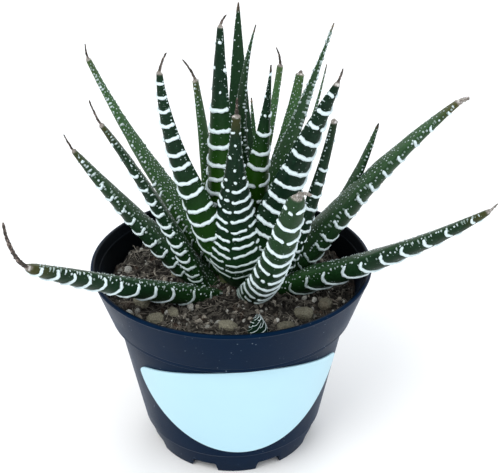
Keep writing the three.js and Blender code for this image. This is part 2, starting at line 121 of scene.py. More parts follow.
# How each blade is marked: distance to the first band, band spacing at base and tip, share of the
# blade with whole bands, band thickness, how far a band bows and the angle round the blade at which it
# turns back, chance that it is broken, share of the places past the whole bands which carry a tubercle,
# spacing of the face dots, size of the edge teeth, how light the skin is, how warm it is near the base,
# how far its tip has faded to olive, how pale its dried end is, and that end's thickness in millimetres.
MARK_FIELDS = ("first", "spacing_base", "spacing_tip", "whole", "thick", "bow", "vertex", "broken", "sparse",
               "dots", "teeth", "light", "warm", "olive", "pale", "thread")
MARKS = {
    "front_young": (7.4, 2.9, 5.0, 0.62, 0.6, 0.1, 268, 1.0, 0.98, 2.2, 0.5, 0.03, 0.2, 0.5, 0.1, 1.2),
    "front_short": (2.7, 4.8, 7.6, 1.0, 0.74, 0.16, 268, 0.5, 0.8, 2.2, 0.5, 0.18, 0.2, 0.0, 0.8, 2.2),
    "right_banded": (1.5, 5.1, 6.9, 0.96, 0.86, 0.16, 268, 0.4, 0.9, 2.2, 0.5, 0.02, 0.2, 0.0, 0.2, 1.2),
    "centre_tall": (5.4, 2.75, 9.0, 0.72, 0.78, 0.12, 268, 0.4, 0.98, 2.6, 0.3, 0.03, 0.9, 0.0, 0.1, 1.2),
    "left_upright": (2.5, 7.1, 4.3, 0.99, 0.74, 0.16, 282, 0.2, 0.8, 2.0, 0.5, 0.04, 0.6, 0.0, 0.2, 1.2),
    "left_low": (7.9, 9.2, 5.5, 0.97, 0.7, 0.36, 322, 0.3, 0.8, 1.9, 0.7, 0.08, 0.3, 0.6, 0.15, 1.9),
    "right_low": (4.7, 6.5, 9.7, 0.97, 0.72, 0.5, 210, 0.3, 0.8, 1.9, 0.6, 0.08, 0.3, 0.6, 0.6, 1.4),
    "left_slim": (5.4, 2.0, 8.3, 0.78, 0.66, 0.3, 322, 0.0, 0.8, 2.0, 0.6, 0.08, 0.3, 0.5, 0.1, 1.2),
    "right_stub": (2.0, 3.4, 6.2, 0.8, 0.64, 0.14, 268, 0.6, 0.7, 2.0, 0.6, 0.05, 0.1, 0.1, 0.8, 2.4),
    "left_mid": (3.5, 5.0, 6.0, 0.8, 0.58, 0.25, 322, 0.2, 0.7, 1.9, 0.9, 0.15, 0.2, 0.4, 0.1, 1.2),
    "left_tall": (3.5, 5.0, 6.5, 0.45, 0.55, 0.16, 268, 0.6, 0.6, 1.35, 0.9, 0.55, 0.5, 0.3, 0.1, 1.2),
    "right_long": (2.5, 4.2, 8.8, 1.0, 0.66, 0.3, 214, 0.3, 0.8, 1.6, 0.8, 0.28, 0.2, 0.8, 0.8, 3.4),
    "back_left": (3.5, 5.0, 5.6, 0.3, 0.5, 0.14, 268, 0.6, 0.4, 1.9, 0.6, 0.45, 0.9, 0.5, 0.2, 1.2),
    "back_slim": (3.5, 6.0, 8.0, 0.8, 0.5, 0.2, 268, 0.5, 0.5, 2.4, 0.7, 0.1, 0.2, 0.0, 0.0, 1.2),
    "centre_right": (4.7, 5.1, 7.7, 0.84, 0.78, 0.12, 268, 0.4, 0.5, 2.2, 0.3, 0.02, 1.0, 0.0, 0.0, 1.2),
    "right_slim": (4.0, 6.0, 7.0, 0.5, 0.5, 0.14, 268, 0.6, 0.7, 2.2, 0.6, 0.3, 0.3, 0.4, 0.0, 1.2),
    "back_tall": (4.0, 6.0, 7.0, 0.0, 0.3, 0.14, 268, 0.6, 0.1, 2.6, 0.4, 0.04, 0.2, 0.0, 0.0, 1.2),
    "right_pointed": (4.0, 6.0, 8.0, 0.75, 0.62, 0.16, 268, 0.5, 0.7, 2.0, 1.3, 0.12, 0.4, 0.0, 0.0, 1.2),
    "back_short": (4.0, 6.0, 6.0, 0.0, 0.4, 0.14, 268, 0.6, 0.2, 1.3, 0.5, 0.95, 0.6, 0.3, 0.2, 1.2),
    "back_stub": (4.0, 5.0, 6.0, 0.3, 0.5, 0.14, 268, 0.6, 0.4, 1.3, 0.7, 0.75, 0.6, 0.2, 0.5, 2.2),
    "right_back": (4.0, 5.0, 6.0, 0.7, 0.5, 0.16, 268, 0.6, 0.6, 2.2, 0.7, 0.16, 0.2, 0.0, 0.0, 1.2),
    "rear_left": (3.4, 4.8, 6.4, 0.9, 0.6, 0.16, 268, 0.4, 0.7, 1.9, 0.7, 0.12, 0.3, 0.4, 0.1, 1.2),
    "rear_middle": (3.4, 4.8, 6.4, 0.9, 0.6, 0.16, 268, 0.4, 0.7, 1.9, 0.7, 0.16, 0.3, 0.4, 0.0, 1.2),
    "rear_right": (3.4, 4.8, 6.4, 0.9, 0.6, 0.16, 268, 0.4, 0.7, 1.9, 0.7, 0.12, 0.3, 0.4, 0.1, 1.2),
}

LEAF_SEED = 100
OFFSET = {"x": 9.5, "y": -34.5, "leaves": 5, "azimuth": 40, "seed": 77, "wrinkles": 40, "stem_wrinkles": 50}
# The offset's leaves and stem, with a blade's fields after the azimuth, and its marks.
OFFSET_LEAF = (2.3, 63.0, 97, 112, 0.9, 0, 0, 9.6, 5.4, 0.6, 0.7, "point", 0, 0)
OFFSET_STEM = (0.0, 59.0, 90, 90, 1.0, 0, 0, 6.0, 4.0, 0.85, 0.3, "stub", 0, 0)
OFFSET_MARK = (0.8, 2.0, 2.2, 0.95, 0.20, 0.5, 225, 0.0, 0.5, 1.2, 0.5, 0.0, 0.0, 0.0, 0.0, 0.3)

# Loose stones: x, y, half sizes along x, y and z, turn about the vertical, and how pale they are.
STONES = {
    "stone_left_edge": (-31.5, -16.0, 3.0, 2.2, 1.9, -30, 0.75),
    "stone_left": (-26.0, -26.2, 3.2, 2.3, 2.0, 25, 0.6),
    "stone_left_inner": (-20.0, -23.0, 2.6, 1.9, 1.7, 110, 0.55),
    "stone_left_back": (-20.0, 4.0, 2.7, 2.0, 1.8, 10, 0.9),
    "stone_front": (-1.0, -30.5, 3.4, 2.3, 1.9, -10, 0.6),
    "stone_front_right": (19.0, -30.5, 3.0, 2.0, 1.6, 15, 0.25),
    "stone_right": (25.5, -23.8, 3.2, 2.6, 2.2, -15, 0.45),
    "stone_right_edge": (33.5, -17.0, 2.8, 2.3, 2.0, 55, 0.35),
    "stone_back": (-8.0, 38.0, 2.8, 2.3, 1.9, 70, 0.5),
}
STONE_SINK = 0.35

# ---------------------------------------------------------------- stage, in metres

CAMERA_TARGET = (0.00677, 0.0, 0.0828)
LAMP_TARGET = (0.0, 0.0, 0.07)
FLOOR_SIZE = 8.0
SURROUND_COLOUR = (0.94, 0.97, 1.0, 1.0)
# Name, place, diameter, share of the key light's strength, and colour.
LAMPS = (
    ("key_light", (-0.35, -0.45, 0.75), 0.55, 1.0, (1.0, 0.99, 0.96)),
    ("fill_light", (0.65, -0.35, 0.45), 0.7, 0.35, (0.95, 0.98, 1.0)),
    ("back_light", (0.1, 0.7, 0.6), 0.6, 0.5, (1.0, 1.0, 1.0)),
)

# ---------------------------------------------------------------- settings a user would change



def colour_property(name, description, default):
    """A colour that the user can change."""
    return FloatVectorProperty(
        name=name, description=description, default=default, subtype="COLOR", size=3, min=0.0, max=1.0)


class PotSettings(PropertyGroup):
    """Finish of the pot and its label."""

    plastic: colour_property("Plastic", "Colour of the moulded pot", (0.0010, 0.0085, 0.026))
    sheen: FloatProperty(
        name="Roughness", description="How dull the plastic is", subtype="FACTOR",
        min=0.0, max=1.0, default=0.40)
    label: colour_property("Label", "Colour of the bare label", (0.45, 0.69, 0.79))
    label_thickness: FloatProperty(
        name="Label thickness", description="How far the label stands off the wall", unit="LENGTH",
        min=0.0001, max=0.001, default=0.00045)


class LeafSettings(PropertyGroup):
    """Colours and relief of the leaves."""

    dark: colour_property("Dark skin", "Colour of the blades' backs", (0.0022, 0.0130, 0.0068))
    light: colour_property("Light skin", "Colour of the palest blades", (0.070, 0.165, 0.055))
    pearl: colour_property("Tubercles", "Colour of the raised bands and dots", (0.70, 0.82, 0.86))
    dried: colour_property("Dried tips", "Colour of the withered tips", (0.060, 0.042, 0.034))
    band: FloatProperty(
        name="Band thickness", description="Scale of the bands' thickness", subtype="FACTOR",
        min=0.3, max=2.0, default=1.0)


class SoilSettings(PropertyGroup):
    """Make-up of the potting mix."""

    earth: colour_property("Earth", "Colour of the peat", (0.014, 0.0122, 0.0102))
    fibre: colour_property("Fibre", "Colour of the fibres and shreds", (0.36, 0.33, 0.28))
    stone: colour_property("Stone", "Colour of the palest stones", (0.31, 0.295, 0.22))
    crumbs: IntProperty(name="Crumbs", description="How many crumbs lie on top", min=0, default=2600)
    fibres: IntProperty(name="Fibres", description="How many fibres lie on top", min=0, default=700)


class StageSettings(PropertyGroup):
    """Camera and light."""

    lens: FloatProperty(
        name="Focal length", description="Focal length of the camera, in millimetres",
        min=10.0, max=300.0, default=72.0)
    distance: FloatProperty(
        name="Distance", description="Camera to the middle of the plant", unit="LENGTH", default=0.360)
    elevation: FloatProperty(
        name="Elevation", description="Angle of the camera above the horizon", subtype="ANGLE",
        default=math.radians(28.5))
    key: FloatProperty(
        name="Key light", description="Strength of the main soft light", unit="POWER", default=4.0)
    surround: FloatProperty(name="Surround", description="Strength of the even light", min=0.0, default=0.92)


# ---------------------------------------------------------------- materials


def shade_of(colour, factor):
    """A colour made lighter or darker."""
    return tuple(min(1.0, part * factor) for part in colour)


class Finish:
    """A named material whose nodes are added one by one, in the piece's own coordinates in metres."""

    def __init__(self, name, roughness):
        self.material = bpy.data.materials.new(name)
        self.material.use_nodes = True
        self.tree = self.material.node_tree
        self.shader = self.tree.nodes["Principled BSDF"]
        self.set(roughness=roughness)
        self.where = self.add("ShaderNodeTexCoord").outputs["Object"]

    def set(self, **values):
        """Sets the shader's own sockets, named in lower case, to a value or from a node."""
        for key, value in values.items():
            title = key.title().replace("_", " ").replace("Ior", "IOR")
            self.feed(self.shader.inputs[title], value)
        return self.material

    def feed(self, socket, value):
        """Gives a socket a number, a colour or another node's output."""
        if isinstance(value, bpy.types.NodeSocket):
            self.tree.links.new(value, socket)
        elif isinstance(value, tuple) and socket.type == "RGBA":
            socket.default_value = (*value, 1.0)
        else:
            socket.default_value = value

    def add(self, kind, *inputs, **settings):
        """A node of a kind with its first sockets fed and its properties or inputs set by name."""
        node = self.tree.nodes.new(kind)
        for key, value in settings.items():
            if hasattr(node, key):
                setattr(node, key, value)
            else:
                self.feed(node.inputs[key.replace("_", " ").title()], value)
        for socket, value in zip(node.inputs, inputs):
            self.feed(socket, value)
        return node

    def grain(self, scale, detail=4.0, roughness=0.55):
        """Noise of a scale per metre, from 0 to 1."""
        return self.add("ShaderNodeTexNoise", vector=self.where, scale=scale, detail=detail,
                        roughness=roughness).outputs["Fac"]

    def band(self, value, low, high):
        """A value mapped so that low gives 0 and high gives 1."""
        return self.add("ShaderNodeMapRange", value, low, high).outputs["Result"]

    def flecks(self, scale, size):
        """Small round flecks, white on black."""
        node = self.add("ShaderNodeTexVoronoi", vector=self.where, scale=scale)
        return self.band(node.outputs["Distance"], size, size * 0.55)

    def stored(self, name):
        """A value stored on the piece's points."""
        return self.add("ShaderNodeAttribute", attribute_name=name).outputs["Fac"]

    def math(self, operation, first, second):
        """Two values put together."""
        return self.add("ShaderNodeMath", first, second, operation=operation).outputs[0]

    def times(self, first, second):
        """One value times another."""
        return self.math("MULTIPLY", first, second)

    def blend(self, share, first, second):
        """One colour fading into another."""
        node = self.add("ShaderNodeMix", data_type="RGBA", blend_type="MIX")
        for socket, value in ((0, share), (6, first), (7, second)):
            self.feed(node.inputs[socket], value)
        return node.outputs[2]

    def coat(self, colour, height, depth, strength):
        """The shader's colour, and its bump from a height, with the bump's depth in metres."""
        bump = self.add("ShaderNodeBump", strength=strength, distance=depth)
        self.feed(bump.inputs["Height"], height)
        return self.set(base_color=colour, normal=bump.outputs["Normal"])


def leaf_skin(settings):
    """Green blade skin that turns olive and then brown towards a dried tip."""
    skin = Finish("leaf_skin", 0.42)
    dark, light, dried = tuple(settings.dark), tuple(settings.light), tuple(settings.dried)
    mottle = skin.grain(260.0, 5.0)
    fine = skin.grain(1500.0, 3.0)
    speckle = skin.band(skin.grain(1100.0, 4.0, 0.7), 0.52, 0.72)
    green = skin.blend(mottle, shade_of(dark, 0.6), shade_of(dark, 1.6))
    green = skin.blend(skin.times(speckle, 0.36), green, (0.020, 0.062, 0.034))
    lit = skin.blend(mottle, shade_of(light, 0.6), shade_of(light, 1.4))
    # The stored lightness is lowered near each blade's base as painted shade.
    green = skin.blend(skin.stored("light"), green, lit)
    warm = skin.blend(mottle, (0.009, 0.046, 0.002), (0.024, 0.098, 0.004))
    green = skin.blend(skin.stored("warm"), green, warm)
    face = skin.blend(fine, (0.020, 0.064, 0.024), (0.070, 0.155, 0.062))
    green = skin.blend(skin.times(skin.stored("face"), 0.55), green, face)
    olive = skin.blend(fine, (0.040, 0.045, 0.012), (0.090, 0.072, 0.022))
    green = skin.blend(skin.stored("olive"), green, olive)
    streaks = skin.band(skin.grain(900.0, 6.0, 0.7), 0.50, 0.66)
    brown = skin.blend(streaks, shade_of(dried, 0.25), shade_of(dried, 4.5))
    ashen = skin.blend(streaks, (0.25, 0.225, 0.20), (0.84, 0.83, 0.81))
    brown = skin.blend(skin.stored("pale"), brown, ashen)
    skin.set(roughness=skin.band(fine, -0.6, 2.2), specular_ior_level=0.09, subsurface_weight=0.05,
             subsurface_radius=(0.001, 0.002, 0.0006))
    return skin.coat(skin.blend(skin.stored("dry"), green, brown), fine, 0.00012, 0.35)


def pearl_skin(settings):
    """Raised white tubercles, faintly blue, beige where the tip has dried."""
    skin = Finish("tubercle_pearl", 0.5)
    pearl = tuple(settings.pearl)
    fine = skin.grain(900.0, 4.0)
    colour = skin.blend(fine, shade_of(pearl, 0.72), shade_of(pearl, 1.18))
    # The faint share turns a tubercle dark green: random faded specks and teeth, and painted shade on the
    # bands near the blade's base.
    colour = skin.blend(skin.stored("faint"), colour, (0.070, 0.135, 0.085))
    colour = skin.blend(skin.stored("dry"), colour, (0.30, 0.24, 0.17))
    return skin.coat(colour, fine, 0.00015, 0.4)


def inner_wall_shade(skin):
    """One on the collar's inner wall, where painted shade darkens the inside of the pot, and nought on the
    rest of the pot.
    """
    flat = skin.add("ShaderNodeVectorMath", skin.where, (1.0, 1.0, 0.0), operation="MULTIPLY").outputs[0]
    reach = skin.add("ShaderNodeVectorMath", flat, operation="LENGTH").outputs["Value"]
    height = skin.add("ShaderNodeSeparateXYZ", skin.where).outputs["Z"]
    lean = skin.math("SUBTRACT", reach, skin.times(height, 0.33))
    return skin.times(skin.band(lean, 0.0259, 0.0254), skin.band(height, 0.0572, 0.0582))


def pot_plastic(settings):
    """Moulded navy-black plastic with a fine grain, dust and scuffs, and painted shade on the collar's inner
    wall.
    """
    skin = Finish("pot_plastic", settings.sheen)
    colour = tuple(settings.plastic)
    cloud = skin.grain(45.0, 5.0)
    body = skin.blend(cloud, shade_of(colour, 0.75), shade_of(colour, 1.35))
    dust = skin.times(skin.flecks(520.0, 0.15), skin.band(skin.grain(150.0), 0.50, 0.66))
    body = skin.blend(dust, body, (0.16, 0.20, 0.25))
    scuff = skin.band(skin.grain(600.0, 8.0, 0.75), 0.60, 0.85)
    body = skin.blend(skin.times(scuff, 0.25), body, (0.05, 0.08, 0.13))
    # Painted shade: the collar's inner wall is darkened to near black, as if shaded by the rim.
    body = skin.blend(inner_wall_shade(skin), body, (0.0014, 0.0019, 0.0022))
    skin.set(roughness=skin.band(cloud, -0.5, 2.1), specular_ior_level=0.05,
             specular_tint=(0.28, 0.56, 1.0), sheen_weight=0.07, sheen_roughness=0.25,
             sheen_tint=(0.30, 0.55, 1.0))
    return skin.coat(body, skin.grain(2200.0, 3.0), 0.00008, 0.35)


def label_paper(settings):
    """Smooth coated paper, pale cyan white, bare."""
    skin = Finish("label_paper", 0.36)
    colour = tuple(settings.label)
    body = skin.blend(skin.grain(30.0, 3.0), shade_of(colour, 0.95), shade_of(colour, 1.05))
    specks = skin.times(skin.flecks(160.0, 0.07), skin.band(skin.grain(90.0), 0.60, 0.72))
    body = skin.blend(specks, body, (0.16, 0.24, 0.26))
    return skin.coat(body, skin.grain(1800.0, 4.0), 0.00004, 0.25)


def soil_mix(name, first, second):
    """Soil, crumbs, fibres or stones, lighter where the point's tone is high."""
    skin = Finish(name, 0.92)
    fine = skin.grain(2400.0, 5.0, 0.7)
    clods = skin.band(skin.grain(420.0, 8.0, 0.7), 0.38, 0.66)
    low = skin.blend(clods, shade_of(first, 0.22), shade_of(first, 1.7))
    high = skin.blend(skin.band(fine, 0.35, 0.65), shade_of(second, 0.40), shade_of(second, 1.45))
    rust = skin.band(skin.grain(160.0, 4.0), 0.56, 0.70)
    low = skin.blend(skin.times(rust, 0.6), low, (0.060, 0.030, 0.018))
    skin.set(specular_ior_level=0.2)
    return skin.coat(skin.blend(skin.stored("tone"), low, high), fine, 0.0005, 0.8)


def crown_tissue():
    """Dull olive tissue of the stem and roots."""
    skin = Finish("crown_tissue", 0.7)
    colour = skin.blend(skin.grain(350.0, 6.0), (0.012, 0.030, 0.006), (0.10, 0.12, 0.035))
    return skin.coat(colour, skin.grain(900.0, 5.0), 0.0004, 0.6)


def studio_floor():
    """Plain pale floor with a faint grain."""
    skin = Finish("studio_floor", 0.8)
    return skin.set(base_color=skin.blend(skin.grain(12.0, 2.0), (0.92, 0.92, 0.925), (0.95, 0.95, 0.95)))


# ---------------------------------------------------------------- mesh building


def clear_selection():
    """Object mode with nothing selected."""
    if bpy.context.object and bpy.context.object.mode != "OBJECT":
        bpy.ops.object.mode_set(mode="OBJECT")
    bpy.ops.object.select_all(action="DESELECT")


def mesh_object(name, points, faces, materials, material_index=None, values=None, smooth=True):
    """A mesh object from points in millimetres, with values stored on its points."""
    mesh = bpy.data.meshes.new(name)
    mesh.from_pydata((np.asarray(points) * MM).tolist(), [], faces)
    for material in materials:
        mesh.materials.append(material)
    if material_index is not None:
        mesh.polygons.foreach_set("material_index", np.asarray(material_index, np.int32))
    mesh.polygons.foreach_set("use_smooth", np.full(len(mesh.polygons), smooth))
    for key, data in (values or {}).items():
        layer = mesh.attributes.new(key, "FLOAT", "POINT")
        layer.data.foreach_set("value", np.asarray(data, np.float32))
    mesh.validate()
    mesh.update()
    piece = bpy.data.objects.new(name, mesh)
    bpy.context.scene.collection.objects.link(piece)
    return piece


def adopt(piece, slot, *nodes):
    """Makes a piece ride on the part and stand for the solids it replaces."""
    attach(piece, "root")
    if nodes:
        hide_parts(*nodes)


def edit(piece):
    """Edit mode on one piece with everything selected."""
    clear_selection()
    bpy.context.view_layer.objects.active = piece
    piece.select_set(True)
    bpy.ops.object.mode_set(mode="EDIT")
    bpy.ops.mesh.select_all(action="SELECT")


def weld(threshold):
    """Joins near points of the piece being edited, turns its faces outward and leaves edit mode."""
    bpy.ops.mesh.select_all(action="SELECT")
    bpy.ops.mesh.remove_doubles(threshold=threshold)
    bpy.ops.mesh.select_all(action="SELECT")
    bpy.ops.mesh.normals_make_consistent(inside=False)
    bpy.ops.object.mode_set(mode="OBJECT")


def active_object():
    """The active object."""
    return bpy.context.view_layer.objects.active


def spun(x, y, degrees):
    """A place turned about the upright axis."""
    c, s = math.cos(math.radians(degrees)), math.sin(math.radians(degrees))
    return x * c - y * s, x * s + y * c


def turned(name, profile, steps, material):
    """A closed turned piece: a profile of (radius, height) spun round the upright axis."""
    points = [(radius, 0.0, height) for radius, height in profile]
    piece = mesh_object(name, points, [], [material])
    piece.data.edges.add(len(points) - 1)
    ends = np.array([(i, i + 1) for i in range(len(points) - 1)], np.int32)
    piece.data.edges.foreach_set("vertices", ends.ravel())
    piece.data.update()
    edit(piece)
    bpy.ops.mesh.spin(steps=steps, angle=2 * math.pi, center=(0, 0, 0), axis=(0, 0, 1))
    weld(0.00001)
    return piece


def rounded(profile, reach, steps=4):
    """A profile with its inner corners rounded; reach is how far each bend starts from its corner."""
    made = [profile[0]]
    for before, corner, after in zip(profile, profile[1:], profile[2:]):
        a, b, c = Vector(before), Vector(corner), Vector(after)
        span = min(reach, (a - b).length * 0.45, (c - b).length * 0.45)
        start = b + (a - b).normalized() * span
        end = b + (c - b).normalized() * span
        for step in range(steps + 1):
            t = step / steps
            made.append(tuple(start * (1 - t) ** 2 + b * 2 * t * (1 - t) + end * t ** 2))
    made.append(profile[-1])
    return made


# ---------------------------------------------------------------- blades


class Blade:
    """The middle line and sections of one leaf, in millimetres."""

    STEP = 0.5

    def __init__(self, x, y, values, thread=1.2):
        self.thread = thread
        for field, value in zip(BLADE_FIELDS, values):
            setattr(self, field, value)
        self.total = self.length + self.tip_length
        count = int(round(self.total / self.STEP))
        self.at = np.linspace(0.0, self.total, count + 1)
        stride = self.total / count
        along, _, _ = self.directions(self.at[:-1] + stride / 2)
        start = math.radians(self.azimuth)
        origin = np.array([x + self.start * math.cos(start), y + self.start * math.sin(start), self.height])
        self.points = np.vstack([origin, origin + np.cumsum(along * stride, axis=0)])

    def directions(self, at):
        """Along, across and off the face at distances along the leaf."""
        share = np.minimum(at / self.length, 1.0)
        past = np.maximum(0.0, (at - self.length) / self.tip_length) if self.tip_length else 0.0 * at
        rise = np.radians(self.rise_base + (self.rise_tip - self.rise_base) * share ** self.bend
                          + self.curl * np.sqrt(past))
        azimuth = np.radians(self.azimuth + self.turn * share)
        level = np.stack([np.cos(azimuth), np.sin(azimuth), 0 * azimuth], axis=-1)
        along = level * np.cos(rise)[..., None]
        along[..., 2] = np.sin(rise)
        across = np.stack([-level[..., 1], level[..., 0], 0 * azimuth], axis=-1)
        up = np.cross(along, across)
        c, s = math.cos(math.radians(self.roll)), math.sin(math.radians(self.roll))
        return along, across * c - up * s, up * c + across * s

    def widths(self, at):
        """Full width at distances along the leaf, dried tip included."""
        at = np.asarray(at, float)
        end = TIP_WIDTH[self.tip]
        share = np.minimum(at / self.length, 1.0)
        swell = np.sin(math.pi / 2 * np.minimum(share / SWELL, 1.0))
        base = self.base + (1 - self.base) * swell
        rest = np.maximum(0.0, (share - SWELL) / (1 - SWELL))
        width = end + (self.width * base - end) * (1 - rest) ** self.taper
        if not self.tip_length:
            return width
        past = np.clip((at - self.length) / self.tip_length, 0.0, 1.0)
        dried = self.thread * (1 - THREAD_TAPER * past)
        ease = smoothstep(at - self.length, 0.0, THREAD_EASE)
        return np.where(at > self.length, width * (1 - ease) + dried * ease, width)

    def surface(self, at, angle, lift=0.0):
        """Points on the skin at distances and angles round it, raised along its normal."""
        at = np.asarray(at, float)
        along, across, up = self.directions(at)
        middle = np.stack([np.interp(at, self.at, self.points[:, k]) for k in range(3)], axis=-1)
        width = self.widths(at)
        c, s = np.cos(angle), np.sin(angle)
        depth = np.where(s >= 0, FACE_RISE, BACK_DEPTH)
        keel = KEEL * np.exp(-(((np.degrees(angle) % 360) - 270) / KEEL_SPREAD) ** 2)
        x = c * width / 2
        y = width * (EDGE_LIFT + s * depth - keel)
        normal_x, normal_y = c * depth, s * 0.5
        size = np.hypot(normal_x, normal_y) + 1e-9
        lift = np.asarray(lift, float)
        x = x + lift * normal_x / size
        y = y + lift * normal_y / size
        return middle + across * x[..., None] + up * y[..., None]


class Stack:
    """Points, faces and values of many small closed forms gathered into one mesh."""

    def __init__(self, *keys):
        self.points = []
        self.faces = []
        self.kinds = []
        self.values = {key: [] for key in keys}
        self.count = 0

    def put(self, points, faces, kind, **values):
        """Adds a form; each value is a number or one number per point."""
        points = np.asarray(points, float)
        self.points.append(points)
        self.faces.extend([tuple(index + self.count for index in face) for face in faces])
        self.kinds.extend([kind] * len(faces))
        for key, stored in self.values.items():
            stored.append(np.broadcast_to(np.asarray(values.get(key, 0.0), float), (len(points),)))
        self.count += len(points)

    def piece(self, name, materials, smooth=True):
        """The gathered forms as one object."""
        values = {key: np.concatenate(stored) for key, stored in self.values.items()}
        return mesh_object(name, np.vstack(self.points), self.faces, materials, self.kinds, values, smooth)


def ring_faces(rings, sides):
    """Faces of a closed skin: a first pole, rings of points, a last pole."""
    faces = []
    for side in range(sides):
        following = (side + 1) % sides
        faces.append((0, 1 + following, 1 + side))
        for ring in range(rings - 1):
            a = 1 + ring * sides + side
            b = 1 + ring * sides + following
            faces.append((a, b, b + sides, a + sides))
        last = 1 + (rings - 1) * sides
        faces.append((last + side, last + following, last + sides))
    return faces


def smoothstep(value, low, high):
    """0 below low, 1 above high, and smooth between."""
    t = np.clip((value - low) / (high - low), 0.0, 1.0)
    return t * t * (3 - 2 * t)


SKIN_VALUES = ("dry", "olive", "warm", "light", "face", "pale", "faint")


def shades(blade, mark, at, angle):
    """How dry, olive, warm, light, face-like and pale the skin is at its points; the lightness holds painted
    shade near the base.
    """
    share = at / blade.length
    dry = smoothstep(at, blade.length - 0.3, blade.length + 0.25)
    if not blade.tip_length:
        dry = 0.85 * smoothstep(at, blade.length * 0.96, blade.length * 0.98)
    olive = mark["olive"] * smoothstep(at, blade.length * 0.88, blade.length * 0.99)
    cooled = smoothstep(share, 0.12 + 0.25 * mark["warm"], 0.50 + 0.35 * mark["warm"])
    warm = mark["warm"] * (1 - cooled) * 0.9
    # The light skin fades towards the blade's base: painted shade where the bases lie deep in the rosette.
    light = mark["light"] * (0.25 + 0.75 * smoothstep(share, 0.2, 0.85))
    face = smoothstep(np.sin(angle), -0.05, 0.5) * min(1.0, 0.3 + mark["light"] * 1.6)
    ring = 0.95 * (1 - smoothstep(at, blade.length + 0.5, blade.length + 1.5)) * (blade.tip_length > 0)
    pale = np.maximum(mark["pale"], ring)
    return {"dry": dry, "olive": olive, "warm": warm, "light": light, "face": face + 0 * at, "pale": pale}


def ripple(at, angle, stretch, shift, size):
    """Smooth noise over the skin at a grid of distances and angles."""
    places = zip(at.ravel() * stretch + shift, np.cos(angle).ravel() * size, np.sin(angle).ravel() * size)
    return np.array([noise.noise(Vector(where)) for where in places]).reshape(at.shape)


def put_skin(stack, blade, mark, seed, sides=30):
    """The blade's own smooth skin, a little uneven and wrinkled where it has dried."""
    green = np.append(np.arange(0.0, blade.length - 1.0, 0.9), [blade.length - 0.6, blade.length - 0.2])
    dried = np.arange(blade.length, blade.total - 0.15, 0.3) if blade.tip_length else [blade.length - 0.1]
    at = np.concatenate([green, dried])
    angle = np.linspace(0, 2 * math.pi, sides, endpoint=False)
    grid_at, grid_angle = np.meshgrid(at, angle, indexing="ij")
    width = blade.widths(grid_at)
    rough = ripple(grid_at, grid_angle, 0.16, seed * 7.3, 1.1)
    wrinkle = ripple(grid_at, grid_angle, 1.1, seed, 2.4)
    values = shades(blade, mark, grid_at, grid_angle)
    lift = rough * width * 0.026 + values["dry"] * wrinkle * np.minimum(width * 0.3, 0.5)
    points = blade.surface(grid_at, grid_angle, lift)
    first = points[0].mean(axis=0)
    last = points[-1].mean(axis=0) + blade.directions(np.array([blade.total]))[0][0] * 0.35
    flat = {key: np.concatenate([[data[0].mean()], data.ravel(), [data[-1].mean()]])
            for key, data in values.items()}
    stack.put(np.vstack([first, points.reshape(-1, 3), last]), ring_faces(*grid_at.shape), 0, **flat)


def put_ridge(stack, blade, mark, at, start, end, radius, tilt, rng, bow=0.0, sides=6):
    """One raised tubercle across the back, from one angle to another, lumpy and round-ended."""
    width = float(blade.widths(at))
    arc = max(radius * 1.2, abs(end - start) * width * BACK_RADIUS)
    count = max(5, int(arc / 0.75) + 4)
    q = (1 - np.cos(np.linspace(0, math.pi, count))) / 2
    angle = start + (end - start) * q
    from_end = np.minimum(q, 1 - q) * arc
    cap = np.sqrt(np.maximum(0.0, 1 - (1 - np.minimum(from_end / radius, 1.0)) ** 2))
    phase, second = rng.uniform(0, 6.3), rng.uniform(0, 6.3)
    lumps = 1 + 0.15 * np.sin(arc * q * 3.6 + phase) + 0.07 * np.sin(arc * q * 7.9 + second)
    thick = radius * cap * lumps
    line = at + tilt * (q - 0.5) * arc + 0.16 * np.sin(arc * q * 1.9 + second)
    line += bow * width * np.abs((np.degrees(angle) - mark["vertex"]) / 87) ** 1.3
    turn = np.linspace(0, 2 * math.pi, sides, endpoint=False)
    inner = slice(1, count - 1)
    ring_at = line[inner, None] + thick[inner, None] * np.cos(turn)[None, :]
    ring_angle = np.repeat(angle[inner, None], sides, axis=1)
    high = np.where(np.sin(turn) > 0.01, 0.82, 0.30) * np.sin(turn)
    ring_lift = thick[inner, None] * (high[None, :] + 0.04)
    ring_at = np.clip(ring_at, 0.0, blade.total)
    middle = blade.surface(ring_at, ring_angle, ring_lift).reshape(-1, 3)
    ends = blade.surface(line[[0, -1]], angle[[0, -1]], -0.05)
    points = np.vstack([ends[0], middle, ends[1]])
    faces = ring_faces(count - 2, sides)
    if end < start:
        faces = [face[::-1] for face in faces]
    dry = shades(blade, mark, np.array([at]), 0.0)["dry"][0]
    # Bands near the blade's base fade into dark green: painted shade where the base lies deep in the rosette.
    faint = 0.62 * (1 - smoothstep(at / blade.length, 0.04, 0.34))
    stack.put(points, faces, 1, dry=dry, faint=faint)


DOT_SIDES = 6
DOT_FACES = [face for side in range(DOT_SIDES) for face in (
    ((side + 1) % DOT_SIDES, side, DOT_SIDES), (side, (side + 1) % DOT_SIDES, DOT_SIDES + 1))]


